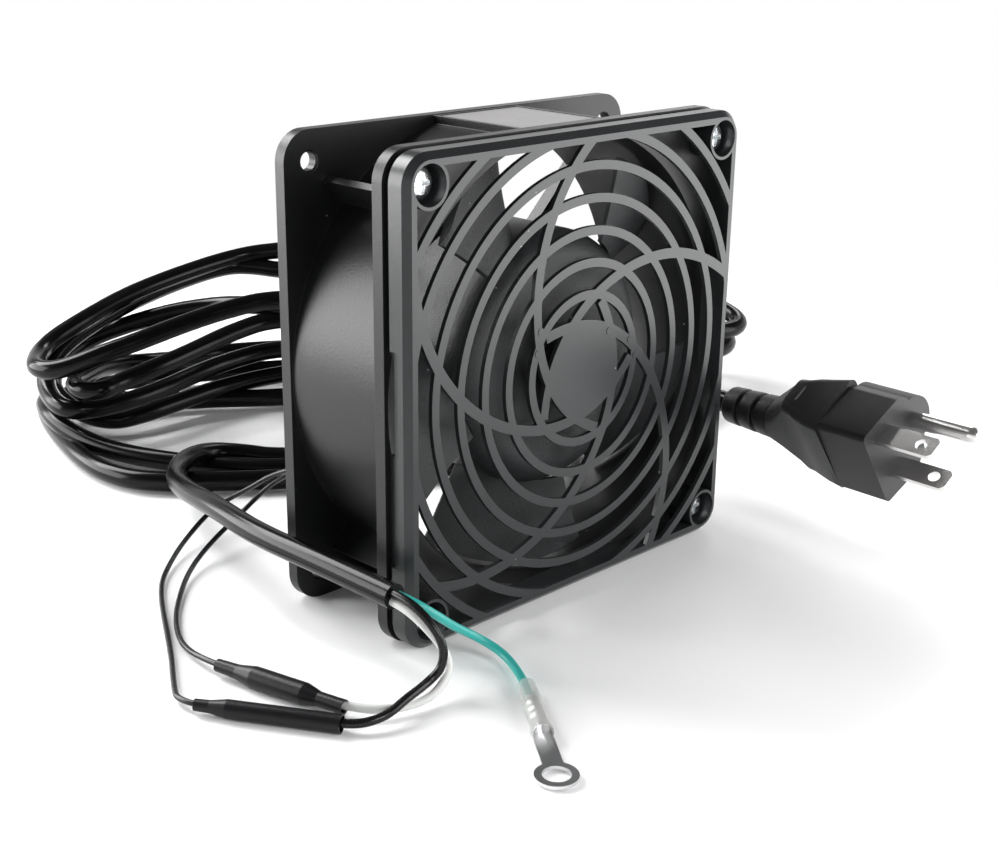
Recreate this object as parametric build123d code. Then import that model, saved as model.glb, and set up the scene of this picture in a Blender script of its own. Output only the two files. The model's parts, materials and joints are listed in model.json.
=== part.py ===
from build123d import *
import math
import os

os.makedirs("parts", exist_ok=True)

# Frame
side = 120.0
depth = 38.0
flange_thick = 3.4
flange_corner_r = 7.6
hole_pitch = 104.8
hole_d = 4.5
hole_chamfer = 0.5
duct_outer_r = 59.3
duct_bore_r = 57.2
intake_mouth_r = 58.9
intake_mouth_depth = 4.0
outlet_chamfer = 1.5
web_reach = 8.7
web_thick = 1.8
strut_width = 3.2
strut_depth = 4.0
strut_lead_r = 50.0
base_r = 33.0
base_thick = 3.0
boss_r = 11.0
boss_rise = 3.0
pad_left = -13.0
pad_right = 17.0
pad_recess = 0.2
pad_depth = 8.0
label_thick = 0.4
label_pocket = 0.6
label_margin = 1.2
label_clear = 0.05
cap_r = 13.9
cap_thick = 0.45
cap_recess = 0.5

# Finger guard
guard_rise = 7.5
rim_side = 117.0
rim_rise = 1.6
wall_side = 119.2
wall_corner_r = 7.2
wall_chamfer = 1.6
opening_side = 112.8
opening_corner_r = 4.0
bar_depth = 1.2
bar_width = 2.25
ring_first_r = 19.0
ring_step = 8.0
ring_count = 7
centre_disc_r = 12.5
arm_count = 5
arm_centre = (27.82, -24.66)
arm_r = 49.61
arm_width = 2.7
arm_root_r = 35.2
arm_root_turn = 58.0
well_r = 5.6
well_bore_r = 4.8
well_floor = 2.0
relief_low = -38.0
relief_high = 15.0
relief_thick = 1.2
relief_roof = 3.3
slot_low = -10.5
slot_high = 13.5

# Guard fasteners
screw_head_r = 4.0
screw_head_rise = 2.8
screw_shank_r = 2.0
screw_length = 10.0
recess_width = 1.0
recess_span = 4.6
recess_depth = 1.6
nut_flats = 7.0
nut_thick = 3.2

# Impeller
hub_r = 33.5
hub_front = 37.4
hub_back = 8.2
hub_round = 8.0
hub_wall = 2.0
blade_count = 5
blade_tip_r = 56.0
blade_start = 43.8
blade_half_chord = 21.2
blade_sweep = 3.0
blade_front = 35.4
blade_back = 16.9
blade_bulge = 3.5
blade_thick = 2.0
blade_edge = 1.1
blade_tip_round = 6.0

# Motor
seat_clear = 0.02
cup_clear = 0.05
cup_wall = 1.4
cup_back = 8.0
shaft_r = 2.5
shaft_back = 1.6
tube_inner_r = 6.5
tube_outer_r = 8.0
tube_back = 1.2
tube_front = 24.2
tube_shoulder_r = 5.9
rear_bearing_z = 4.0
front_bearing_z = 20.0
bearing_width = 4.0
race_outer_inner_r = 5.35
race_inner_outer_r = 3.65
ball_r = 0.83
ball_count = 6
spring_thick = 0.6
washer_r = 3.6
clip_r = 4.2
clip_thick = 0.6
clip_groove_r = 2.1
stator_back = 9.5
stator_front = 23.5
tooth_width = 9.0
pole_r = 24.5
pole_start = 20.0
pole_half_width = 10.5
core_hub_r = 12.0
bobbin_wall = 0.6
bobbin_back = 4.8
bobbin_front = 28.2
bobbin_half_width = 9.0
shading_offset = 5.0
shading_wire = 1.2
rotor_core_r = 30.0
rotor_core_bore_r = 25.0
rotor_core_back = 9.5
rotor_core_front = 24.5
cage_ring = 1.5
cage_bar_r = 1.2
cage_bar_count = 12
cage_bar_pitch_r = 27.2
rotor_boss_r = 7.5
rotor_boss_back = 24.7

# Leads, cord and splices
jacket_d = 6.0
wire_d = 2.1
lead_d = 1.4
grommet_r = 3.0
grommet_rise = 0.4
splice_open_r = 2.2
splice_open_bore_r = 1.82
crimp_r = 1.6
crimp_length = 17.5
coil_centre = (74.0, 125.0)
coil_turn = -35.3
coil_half_length = 133.0
coil_half_width = 36.0
coil_band_end = 23.0
coil_band_side = 18.0
coil_shift = 2.0
coil_top_middle = 52.0
coil_top_end = 27.0
low_turn_reach = 90.0
low_turn_band = 30.0
low_turn_top = 8.5

# Earth terminal
terminal_start = (-52.0, -54.0, 2.2)
terminal_heading = (-0.587, -0.81, 0.0)
terminal_sleeve_r = 2.2
terminal_sleeve_length = 23.0
barrel_r = 1.8
barrel_start = 7.0
barrel_length = 12.0
terminal_thick = 0.8
terminal_ring_r = 4.8
terminal_hole_r = 3.1
terminal_reach = 35.8
tongue_width = 4.6

# Plug
plug_face = (68.0, -71.5, 34.1)
plug_heading = (-0.0797, -0.9966, 0.0199)
plug_across = (0.56, -0.0613, -0.8262)
blade_spacing = 12.7
blade_width = 6.35
blade_plate = 1.5
blade_length = 16.6
blade_hole_d = 3.2
blade_hole_back = 4.5
ground_offset = 11.9
ground_d = 4.75
ground_length = 20.6
ground_shank_d = 3.6
ground_shank_length = 10.0
plug_block = 17.0
plug_waist = 21.0
plug_wing_front = 25.0
plug_wing_back = 29.0
plug_body_length = 38.0
relief_r_front = 6.1
relief_r_back = 5.3
relief_length = 18.0

FAN = Pos(0, (depth + guard_rise) / 2, side / 2) * Rot(90, 0, 0)
COIL = Pos(*coil_centre) * Rot(0, 0, coil_turn)
TERMINAL = Plane(origin=terminal_start, x_dir=terminal_heading, z_dir=(0, 0, 1))
PLUG = Plane(origin=plug_face, x_dir=plug_across, z_dir=plug_heading)

half_pitch = hole_pitch / 2
guard_front = depth + guard_rise
pad_height = side / 2 - pad_recess
ring_last_r = ring_first_r + (ring_count - 1) * ring_step
cup_r = hub_r - hub_wall - cup_clear
cup_front = hub_front - hub_wall
boss_top = cup_front - cup_wall


def disc(r, low, high):
    return Pos(0, 0, low) * extrude(Circle(r), high - low)


def ring(r_out, r_in, low, high):
    return Pos(0, 0, low) * extrude(Circle(r_out) - Circle(r_in), high - low)


def plate(width, r, low, high):
    return Pos(0, 0, low) * extrude(RectangleRounded(width, width, r), high - low)


def block(x0, x1, y0, y1, z0, z1):
    return Pos((x0 + x1) / 2, (y0 + y1) / 2, (z0 + z1) / 2) * Box(x1 - x0, y1 - y0, z1 - z0)


def turned(*points):
    return revolve(make_face(Plane.XZ * Polyline(*points, close=True)), Axis.Z)


def around(shape, count, start=0.0):
    return [Rot(0, 0, start + k * 360 / count) * shape for k in range(count)]


def at_corners(shape):
    spots = [(sx * half_pitch, sy * half_pitch) for sx in (-1, 1) for sy in (-1, 1)]
    return [Pos(x, y) * shape for x, y in spots]


def write(name, shape):
    if isinstance(shape, list):
        shape = Compound([solid for item in shape for solid in item.solids()])
    export_step(shape, f"parts/{name}.step")
    low, high = shape.bounding_box().min, shape.bounding_box().max
    print(f"{name}: {len(shape.solids())} solids, z {low.Z:.2f} to {high.Z:.2f}")


# Fan frame, seen along the axis with the rear face at height 0
def label_pocket_block(gap):
    floor = pad_height - label_pocket
    low = flange_thick + label_margin + gap
    return block(pad_left + label_margin + gap, pad_right - label_margin - gap, floor,
                 floor + label_pocket if gap == 0 else floor + label_thick, low, depth - low)


def fan_frame():
    body = plate(side, flange_corner_r, 0, flange_thick)
    body += plate(side, flange_corner_r, depth - flange_thick, depth)
    body += disc(duct_outer_r, 0, depth)
    web = block(duct_outer_r - 2, duct_outer_r + web_reach, -web_thick / 2, web_thick / 2, 0, depth)
    for item in around(web, 4, 45):
        body += item
    body += block(pad_left, pad_right, pad_height - pad_depth, pad_height, 0, depth)
    body -= label_pocket_block(0)
    body -= disc(duct_bore_r, 0, depth)
    body -= turned((0, depth - intake_mouth_depth), (duct_bore_r, depth - intake_mouth_depth),
                   (duct_bore_r + 0.5, depth - intake_mouth_depth / 2), (intake_mouth_r, depth), (0, depth))
    body -= turned((0, 0), (duct_bore_r + outlet_chamfer, 0), (duct_bore_r, outlet_chamfer), (0, outlet_chamfer))
    strut = block(base_r - 2, duct_bore_r + 1, -strut_width / 2, strut_width / 2, 0, strut_depth)
    for item in around(strut, 4, 45):
        body += item
    lead_boss = Rot(0, 0, 225) * Pos(strut_lead_r, 0) * disc(grommet_r + 1.5, 0, strut_depth)
    body += lead_boss
    body += disc(base_r, 0, base_thick)
    body += disc(boss_r, base_thick, base_thick + boss_rise)
    body -= disc(cap_r + 0.1, 0, cap_recess)
    body -= disc(tube_inner_r, 0, tube_back)
    body -= disc(tube_outer_r + seat_clear, tube_back, base_thick + boss_rise)
    body -= Rot(0, 0, 225) * Pos(strut_lead_r, 0) * disc(grommet_r + seat_clear, 0, strut_depth)
    hole = disc(hole_d / 2, 0, depth)
    lip = turned((0, 0), (hole_d / 2 + hole_chamfer, 0), (hole_d / 2, hole_chamfer), (0, hole_chamfer))
    hole += lip + Pos(0, 0, flange_thick) * Rot(180, 0, 0) * lip
    for item in at_corners(hole):
        body -= item
    return body


def top_plate():
    return label_pocket_block(label_clear)


# Finger guard. Each arm is an arc across the rings whose root turns tighter into the centre disc
def arc_band(centre, r, start, end):
    rays = [(2 * r * math.cos(math.radians(a)), 2 * r * math.sin(math.radians(a)))
            for a in (start, (start + end) / 2, end)]
    band = Circle(r + arm_width / 2) - Circle(r - arm_width / 2)
    return Pos(*centre) * (band & Polygon((0, 0), *rays, align=None))


def arm_angle(r):
    reach = math.hypot(*arm_centre)
    turn = math.acos((r * r + reach * reach - arm_r * arm_r) / (2 * r * reach))
    heading = math.atan2(arm_centre[1], arm_centre[0]) + turn
    return math.degrees(math.atan2(r * math.sin(heading) - arm_centre[1], r * math.cos(heading) - arm_centre[0]))


def guard_arm():
    start = arm_angle(ring_first_r)
    inward = (arm_r - arm_root_r) / arm_r
    lead = math.radians(start)
    root = (arm_centre[0] + inward * arm_r * math.cos(lead), arm_centre[1] + inward * arm_r * math.sin(lead))
    return (arc_band(arm_centre, arm_r, start, arm_angle(ring_last_r))
            + arc_band(root, arm_root_r, start, start + arm_root_turn))


def guard_grille():
    bars = Circle(centre_disc_r)
    for k in range(ring_count):
        middle = ring_first_r + k * ring_step
        bars += Circle(middle + bar_width / 2) - Circle(middle - bar_width / 2)
    for item in around(guard_arm(), arm_count):
        bars += item
    return bars & RectangleRounded(opening_side + 1, opening_side + 1, opening_corner_r)


def finger_guard():
    outer = plate(wall_side, wall_corner_r, depth + rim_rise, guard_front)
    outer = chamfer(outer.faces().sort_by(Axis.Z)[-1].edges(), wall_chamfer)
    body = outer + plate(rim_side, wall_corner_r - 1, depth, depth + rim_rise)
    body -= plate(opening_side, opening_corner_r, depth, guard_front)
    body += Pos(0, 0, guard_front - bar_depth) * extrude(guard_grille(), bar_depth)
    for item in at_corners(disc(well_r, depth, guard_front)):
        body += item
    well = disc(well_bore_r, depth + well_floor, guard_front) + disc(hole_d / 2, depth, guard_front)
    for item in at_corners(well):
        body -= item
    edge = wall_side / 2
    body -= block(-edge - 1, -edge + relief_thick, relief_low, relief_high, depth, guard_front - relief_roof)
    body -= block(-edge - 1, -opening_side / 2 + 1, slot_low, slot_high, depth, depth + rim_rise)
    return body


def guard_screws():
    seat = depth + well_floor
    top = seat + screw_head_rise
    head = turned((0, seat), (screw_head_r, seat), (screw_head_r, seat + 1.2), (screw_head_r - 0.5, seat + 2.1),
                  (screw_head_r - 1.6, seat + 2.6), (0, top))
    recess = Pos(0, 0, top) * (Box(recess_span, recess_width, 2 * recess_depth)
                               + Box(recess_width, recess_span, 2 * recess_depth))
    return at_corners(head - recess + disc(screw_shank_r, seat - screw_length, seat))


def guard_nuts():
    top = depth - flange_thick
    blank = extrude(RegularPolygon(nut_flats / math.sqrt(3), 6), nut_thick)
    nut = Pos(0, 0, top - nut_thick) * blank - disc(screw_shank_r + seat_clear, top - nut_thick, top)
    return at_corners(nut)


# Impeller blades are sections across the radius, lofted outwards and trimmed to the tip
def blade_section(x):
    sweep = blade_sweep * (2 * (x - hub_r) / (blade_tip_r - hub_r) - 1)
    front_y = x * math.tan(math.radians(blade_half_chord + sweep))
    back_y = -x * math.tan(math.radians(blade_half_chord))
    chord = Vector(front_y - back_y, blade_front - blade_back)
    normal = Vector(-chord.Y, chord.X).normalized()
    lead = Vector(front_y, blade_front)
    trail = Vector(back_y, blade_back)
    middle = (lead + trail) * 0.5 + normal * blade_bulge
    tip = normal * (blade_edge / 2)
    body = normal * (blade_thick / 2)
    upper = ThreePointArc(trail + tip, middle + body, lead + tip)
    lower = ThreePointArc(trail - tip, middle - body, lead - tip)
    face = make_face([upper, Line(lead + tip, lead - tip), lower, Line(trail - tip, trail + tip)])
    return Plane(origin=(x, 0, 0), x_dir=(0, 1, 0), z_dir=(1, 0, 0)) * face


def impeller():
    high = blade_front + 1
    corner = blade_tip_r - blade_tip_round
    outline = Polyline((0, 0), (blade_tip_r, 0), (blade_tip_r, high), (0, high), close=True)
    envelope = make_face(Plane.XZ * outline)
    envelope = revolve(envelope, Axis.Z)
    rim = envelope.edges().filter_by(GeomType.CIRCLE).sort_by(Axis.Z)[-1]
    envelope = fillet(rim, blade_tip_round) - disc(hub_r - hub_wall / 2, 0, high)
    blade = loft([blade_section(x) for x in (30.0, corner - 6, blade_tip_r + 3)]) & envelope
    hub = disc(hub_r, hub_back, hub_front)
    hub = fillet(hub.edges().sort_by(Axis.Z)[-1], hub_round)
    hollow = disc(hub_r - hub_wall, hub_back, cup_front)
    hub -= fillet(hollow.edges().sort_by(Axis.Z)[-1], hub_round - hub_wall)
    for item in around(blade, blade_count, blade_start):
        hub += item
    return hub


# Motor
def rotor_cup():
    outer = disc(cup_r, cup_back, cup_front)
    outer = fillet(outer.edges().sort_by(Axis.Z)[-1], hub_round - hub_wall)
    hollow = disc(cup_r - cup_wall, cup_back, boss_top)
    return outer - fillet(hollow.edges().sort_by(Axis.Z)[-1], hub_round - hub_wall - cup_wall)


def rotor_laminations():
    body = ring(rotor_core_r, rotor_core_bore_r, rotor_core_back, rotor_core_front)
    hole = Pos(cage_bar_pitch_r, 0) * disc(cage_bar_r + seat_clear, rotor_core_back, rotor_core_front)
    for item in around(hole, cage_bar_count):
        body -= item
    return body


def rotor_cage():
    body = ring(rotor_core_r - 1, rotor_core_bore_r, rotor_core_back - cage_ring, rotor_core_back)
    body += ring(rotor_core_r - 1, rotor_core_bore_r, rotor_core_front, rotor_core_front + cage_ring)
    bar = Pos(cage_bar_pitch_r, 0) * disc(cage_bar_r, rotor_core_back, rotor_core_front)
    for item in around(bar, cage_bar_count):
        body += item
    return body


def shaft():
    groove_low = rear_bearing_z - 0.8 - clip_thick
    body = disc(shaft_r, shaft_back, boss_top)
    return body - ring(shaft_r + 1, clip_groove_r, groove_low, groove_low + clip_thick)


def retaining_clip():
    low = rear_bearing_z - 0.8 - clip_thick
    body = ring(clip_r, clip_groove_r + seat_clear, low, low + clip_thick)
    return body - block(0, clip_r + 1, -1.2, 1.2, low, low + clip_thick)


def bearing_tube():
    shoulder_back = rear_bearing_z + bearing_width + spring_thick
    body = ring(tube_outer_r, tube_inner_r + seat_clear, tube_back, tube_front)
    return body + ring(tube_outer_r, tube_shoulder_r, shoulder_back, front_bearing_z)


def outer_race(low):
    return ring(tube_inner_r, race_outer_inner_r, low, low + bearing_width)


def inner_race(low):
    return ring(race_inner_outer_r, shaft_r + seat_clear, low, low + bearing_width)


def balls(low):
    middle = (race_outer_inner_r + race_inner_outer_r) / 2
    return around(Pos(middle, 0, low + bearing_width / 2) * Sphere(ball_r), ball_count)


def stator_core():
    body = disc(core_hub_r, stator_back, stator_front)
    tooth = block(core_hub_r - 2, pole_start + 1, -tooth_width / 2, tooth_width / 2, stator_back, stator_front)
    pole = disc(pole_r, stator_back, stator_front)
    pole &= block(pole_start, pole_r + 1, -pole_half_width, pole_half_width, stator_back, stator_front)
    slot_low = shading_offset
    pole -= block(pole_start + 0.4, pole_r + 1, slot_low, slot_low + shading_wire, stator_back, stator_front)
    for item in around(tooth + pole, 4):
        body += item
    return body - disc(tube_outer_r + seat_clear, stator_back, stator_front)


def shading_rings():
    x0 = pole_start + 0.4
    x1 = x0 + shading_wire
    low = stator_back - shading_wire
    high = stator_front + shading_wire
    loop = block(x0, x1, shading_offset, pole_half_width + shading_wire, low, high)
    loop -= block(x0, x1, shading_offset + shading_wire, pole_half_width, stator_back, stator_front)
    return around(loop, 4)


def coil_bobbins():
    x0 = core_hub_r + 0.2
    x1 = pole_start - 0.05
    tooth = block(0, pole_r, -tooth_width / 2, tooth_width / 2, stator_back, stator_front)
    inner = tooth_width / 2 + bobbin_wall
    body = block(x0, x1, -inner, inner, stator_back - bobbin_wall, stator_front + bobbin_wall)
    for low in (x0, x1 - bobbin_wall):
        body += block(low, low + bobbin_wall, -bobbin_half_width, bobbin_half_width, bobbin_back, bobbin_front)
    return around(body - tooth, 4)


def stator_windings():
    x0 = core_hub_r + 0.2 + bobbin_wall
    x1 = pole_start - 0.05 - bobbin_wall
    reach = bobbin_half_width - 0.3
    inner = tooth_width / 2 + bobbin_wall
    body = block(x0, x1, -reach, reach, bobbin_back + 0.3, bobbin_front - 0.3)
    body = fillet(body.edges().filter_by(Axis.X), 2.5)
    body -= block(x0, x1, -inner, inner, stator_back - bobbin_wall, stator_front + bobbin_wall)
    return around(body, 4)


# Cords run straight between bends that turn on tangent arcs
def bend_radii(points, share=0.45):
    runs = [math.dist(a, b) for a, b in zip(points, points[1:])]
    radii = []
    for k in range(1, len(points) - 1):
        before = Vector(*points[k]) - Vector(*points[k - 1])
        after = Vector(*points[k + 1]) - Vector(*points[k])
        turn = math.radians(before.get_angle(after))
        radii.append(share * min(runs[k - 1], runs[k]) / math.tan(turn / 2))
    return radii


def tube(name, points, d):
    radii = bend_radii(points)
    path = FilletPolyline(*points, radius=radii)
    start = Plane(origin=points[0], z_dir=Vector(*points[1]) - Vector(*points[0]))
    solid = sweep(start * Circle(d / 2), path=path)
    share = solid.volume / (path.length * math.pi * d * d / 4)
    tightest = min(radii) / d
    print(f"{name}: length {path.length:.1f}, smallest bend {tightest:.1f} diameters, volume share {share:.4f}")
    print("  bend radii", [round(r, 1) for r in radii])
    return solid


jacket_points = [(-67, -26, 20), (-67, 0, 20), (-66.3, 27, 19), (-61, 53, 18), (-53, 82, 14), (-46.5, 98, 12),
                 (-36, 110, 11), (-23, 117, 9.5), (-10, 112, 6), (-4, 103, 4.2)]
tail_points = [(30, 130.3, 44), (46.8, 112.5, 43), (63.5, 93.5, 41), (73, 77, 38), (77.5, 56, 35), (77, 31, 33),
               (74.2, 5, 32.6), (72.03, -21.7, 33.1)]
black_points = [(-67.625, -26, 21.08), (-67.625, -31, 21.08), (-67.2, -37.5, 18.5), (-65.8, -41.5, 13),
                (-66, -41, 7), (-69.5, -40, 4.4), (-73.5, -41.4, 4.6), (-78.3, -42.4, 4.4), (-84.5, -43.2, 3),
                (-90.3, -41, 2.2), (-94.6, -35.4, 2.2), (-98.3, -29.4, 2.2)]
white_points = [(-67.625, -26, 18.92), (-67.625, -30, 18.92), (-66, -35.5, 15.5), (-63.5, -39.5, 10),
                (-63.5, -41, 4.8), (-72.5, -43, 1.2), (-87.45, -37.9, 2.7), (-91, -23, 2.7)]
green_points = [(-65.75, -26, 20), (-65.75, -30.5, 20), (-61, -33.5, 16), (-54.5, -33, 10.5), (-48, -33.5, 6),
                (-45, -39, 3), (-47, -46, 1.8), (-52, -54, 2.2), (-57.3, -61.3, 2.2)]
lead_a_points = [(-36.6, 19.5, 25.4), (-36.6, 26.5, 25.4), (-36.9, 37.5, 25.2), (-37.4, 48.5, 23.4),
                 (-38.2, 58.6, 18.8), (-40, 66, 13.4), (-42.8, 71.6, 9.6), (-48, 74, 6.4), (-55, 71.8, 3.9),
                 (-63.5, 66.8, 2.2), (-70.7, 61, 1.3), (-78, 54, 0.9), (-84.8, 44, 0.9), (-93.5, 28.5, 0.9),
                 (-101, 15, 0.9), (-108.5, 3, 1.2), (-113.1, -5.6, 2.2), (-108.1, -13.7, 2.2)]
lead_b_points = [(-34.2, 19.5, 23.8), (-34.2, 27, 23.8), (-34.4, 38, 23.6), (-35.2, 49, 22), (-36.6, 57.6, 17.6),
                 (-40.2, 62.3, 12), (-46.5, 62.8, 7.8), (-55, 61.3, 4.6), (-64.8, 56.4, 2.6), (-72.4, 50.8, 1.3),
                 (-79.6, 43.2, 0.9), (-88, 33, 0.9), (-95.3, 20, 0.9), (-97.9, 5.9, 2.7), (-94.9, -6.6, 2.7)]


def between(start, end):
    return Plane(origin=start, z_dir=Vector(*end) - Vector(*start))


# The first splice is a plain sleeve that stays open at the cord's end
splice_a = between((-93, -38, 2.2), (-111, -9, 2.2))
splice_a_length = math.dist((-93, -38), (-111, -9))
splice_b = between((-88.5, -33.5, 2.7), (-97, 2, 2.7))
splice_b_length = math.dist((-88.5, -33.5), (-97, 2))


def splice_sleeve_a():
    crimp_low = 9.0
    crimp_high = crimp_low + crimp_length
    bore = disc(splice_open_bore_r, 0, crimp_low) + disc(crimp_r, crimp_low, crimp_high)
    bore += disc(lead_d / 2 + 0.4, crimp_high, splice_a_length)
    profile = turned((0, 0), (splice_open_r, 0), (splice_open_r, crimp_high), (splice_open_r - 0.7, crimp_high + 4),
                     (splice_open_r - 0.8, splice_a_length), (0, splice_a_length))
    return splice_a * (profile - bore)


def splice_sleeve_b():
    crimp_low = 10.0
    crimp_high = crimp_low + crimp_length
    bore = disc(wire_d / 2 + 0.3, 0, crimp_low) + disc(crimp_r, crimp_low, crimp_high)
    bore += disc(lead_d / 2 + 0.12, crimp_high, splice_b_length)
    thick = 2.65
    neck = 1.75
    profile = turned((0, 0), (neck, 0), (neck, crimp_low - 3), (thick, crimp_low + 1), (thick, crimp_high - 2),
                     (neck, crimp_high + 3), (neck - 0.2, splice_b_length), (0, splice_b_length))
    return splice_b * (profile - bore)


def splice_crimp(place, low):
    body = disc(crimp_r, low, low + crimp_length)
    body -= disc(wire_d / 2 + seat_clear, low, low + crimp_length / 2)
    body -= disc(lead_d / 2 + seat_clear, low + crimp_length / 2, low + crimp_length)
    return place * body


def coil_block():
    length = coil_half_length
    upper = Ellipse(length, coil_half_width) - Ellipse(length - coil_band_end, coil_half_width - coil_band_side)
    wall = Pos(0, coil_shift) * extrude(upper, coil_top_middle + 1)
    outline = [Line((length + 5, coil_top_end), (length + 5, 0)), Line((length + 5, 0), (-length - 5, 0)),
               Line((-length - 5, 0), (-length - 5, coil_top_end)),
               ThreePointArc((-length - 5, coil_top_end), (0, coil_top_middle), (length + 5, coil_top_end))]
    arch = Plane.XZ * make_face(outline)
    wall &= extrude(arch, low_turn_reach, both=True)
    low = Ellipse(length, low_turn_reach) - Ellipse(length - coil_band_end, low_turn_reach - low_turn_band)
    low &= Pos(0, -low_turn_reach) * Rectangle(3 * length, 2 * low_turn_reach)
    return COIL * (wall + extrude(low, low_turn_top))


# Earth terminal, laid along its own axis
def ring_terminal():
    x0 = barrel_start + barrel_length
    barrel = Pos(barrel_start) * Rot(0, 90, 0) * disc(barrel_r, 0, barrel_length)
    barrel -= Pos(barrel_start) * Rot(0, 90, 0) * disc(wire_d / 2 + seat_clear, 0, barrel_length)
    flat = Pos(terminal_reach, 0) * Circle(terminal_ring_r)
    flat += Pos((x0 - 2 + terminal_reach) / 2, 0) * Rectangle(terminal_reach - x0 + 2, tongue_width)
    flat -= Pos(terminal_reach, 0) * Circle(terminal_hole_r)
    tongue = Pos(0, 0, -barrel_r) * extrude(flat, terminal_thick)
    bore = Pos(barrel_start - 5) * Rot(0, 90, 0) * disc(wire_d / 2 + seat_clear, 0, barrel_length)
    return TERMINAL * (barrel + (tongue - bore))


def terminal_sleeve(inside):
    tubing = Rot(0, 90, 0) * ring(terminal_sleeve_r, barrel_r + seat_clear, 0, terminal_sleeve_length - 6)
    return TERMINAL * tubing - inside


# Plug, with the blades along its own z and the ground pin above them in y
def plug_outline():
    points = [(-12, -7), (13, -7.8), (14.8, 6.5), (11, 12), (-8, 12.5), (-10.8, 9)]
    face = make_face(Polyline(*points, close=True))
    face = fillet(face.vertices(), 1.6)
    return face + Pos(0.5, ground_offset - 0.6) * Circle(7.4)


def plug_body(inserts):
    body = Pos(0, 0, -plug_block) * extrude(plug_outline(), plug_block)
    waist = Pos(0.5, 1.0, -plug_waist) * RectangleRounded(19, 13, 4)
    body += loft([Pos(0, 0, -plug_block) * plug_outline_simple(), waist])
    wing = Pos(0, 0.5, -plug_wing_front) * RectangleRounded(28, 11, 4)
    wing_back = Pos(0, 0.5, -plug_wing_back) * RectangleRounded(26, 12, 4)
    tail = Pos(0, 0, -plug_body_length) * Circle(relief_r_front)
    body += loft([waist, wing], ruled=True)
    body += loft([wing, wing_back], ruled=True)
    body += loft([wing_back, tail])
    body = PLUG * body
    for insert in inserts:
        body -= insert
    return body


def plug_outline_simple():
    return Pos(1.2, 2.2) * RectangleRounded(24, 19, 3)


def flat_blade(offset):
    body = block(offset - blade_plate / 2, offset + blade_plate / 2, -blade_width / 2, blade_width / 2,
                 -12, blade_length)
    body = chamfer(body.edges().filter_by(Axis.X).sort_by(Axis.Z)[-2:], 1.2)
    hole = Pos(offset, 0, blade_length - blade_hole_back) * Rot(0, 90, 0) * Cylinder(blade_hole_d / 2, 4)
    return PLUG * (body - hole)


def ground_pin():
    body = disc(ground_d / 2, 0, ground_length)
    body = fillet(body.edges().sort_by(Axis.Z)[-1], ground_d / 2 - 0.1)
    body += disc(ground_shank_d / 2, -ground_shank_length, 0)
    return PLUG * (Pos(0, ground_offset) * body)


def plug_strain_relief(cord):
    length = relief_length
    step = length / 12
    points = [(0, 0), (relief_r_front, 0)]
    for k in range(3):
        r = relief_r_front - (relief_r_front - relief_r_back) * (k + 1) / 3
        points.append((r, -(4 * k + 3) * step))
        if k < 2:
            points.append((r - 1.3, -(4 * k + 3) * step))
            points.append((r - 1.3, -(4 * k + 4) * step))
            points.append((r, -(4 * k + 4) * step))
    points.append((relief_r_back - 1.4, -length))
    points.append((0, -length))
    return PLUG * (Pos(0, 0, -plug_body_length) * turned(*points)) - cord


jacket = tube("power_cord_lead", jacket_points, jacket_d)
tail = tube("power_cord_tail", tail_points, jacket_d)
green = tube("cord_green_wire", green_points, wire_d)
lead_a = tube("motor_lead_a", lead_a_points, lead_d)
lead_b = tube("motor_lead_b", lead_b_points, lead_d)
terminal = ring_terminal()
line_blade = flat_blade(-blade_spacing / 2)
neutral_blade = flat_blade(blade_spacing / 2)
pin = ground_pin()
rear_washer_z = rear_bearing_z - 0.8
front_washer_z = front_bearing_z + bearing_width

write("fan_frame", FAN * fan_frame())
write("top_plate", FAN * top_plate())
write("finger_guard", FAN * finger_guard())
write("guard_screws", [FAN * item for item in guard_screws()])
write("guard_nuts", [FAN * item for item in guard_nuts()])
write("impeller", FAN * impeller())
write("rotor_cup", FAN * rotor_cup())
write("rotor_laminations", FAN * rotor_laminations())
write("rotor_cage", FAN * rotor_cage())
write("rotor_boss", FAN * ring(rotor_boss_r, shaft_r + seat_clear, rotor_boss_back, boss_top))
write("shaft", FAN * shaft())
write("retaining_clip", FAN * retaining_clip())
write("rear_washer", FAN * ring(washer_r, shaft_r + seat_clear, rear_washer_z, rear_bearing_z))
write("front_washer", FAN * ring(washer_r, shaft_r + seat_clear, front_washer_z, rotor_boss_back))
write("rear_bearing_outer", FAN * outer_race(rear_bearing_z))
write("rear_bearing_inner", FAN * inner_race(rear_bearing_z))
write("rear_bearing_balls", [FAN * item for item in balls(rear_bearing_z)])
write("front_bearing_outer", FAN * outer_race(front_bearing_z))
write("front_bearing_inner", FAN * inner_race(front_bearing_z))
write("front_bearing_balls", [FAN * item for item in balls(front_bearing_z)])
write("preload_spring", FAN * ring(tube_inner_r, race_outer_inner_r, rear_bearing_z + bearing_width,
                                   rear_bearing_z + bearing_width + spring_thick))
write("bearing_tube", FAN * bearing_tube())
write("bearing_cap", FAN * disc(cap_r, cap_recess - cap_thick, cap_recess))
write("stator_core", FAN * stator_core())
write("shading_rings", [FAN * item for item in shading_rings()])
write("coil_bobbins", [FAN * item for item in coil_bobbins()])
write("stator_windings", [FAN * item for item in stator_windings()])
grommet = FAN * (Rot(0, 0, 225) * Pos(strut_lead_r, 0) * (disc(grommet_r, 0, strut_depth)
                                                        + disc(grommet_r + 1, -grommet_rise, 0)))
write("lead_grommet", grommet - lead_a - lead_b)
write("motor_lead_a", lead_a)
write("motor_lead_b", lead_b)
write("splice_sleeve_a", splice_sleeve_a())
write("splice_sleeve_b", splice_sleeve_b())
write("splice_crimp_a", splice_crimp(splice_a, 9.0))
write("splice_crimp_b", splice_crimp(splice_b, 10.0))
write("power_cord_lead", jacket)
write("power_cord_coil", coil_block() - jacket - tail)
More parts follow.
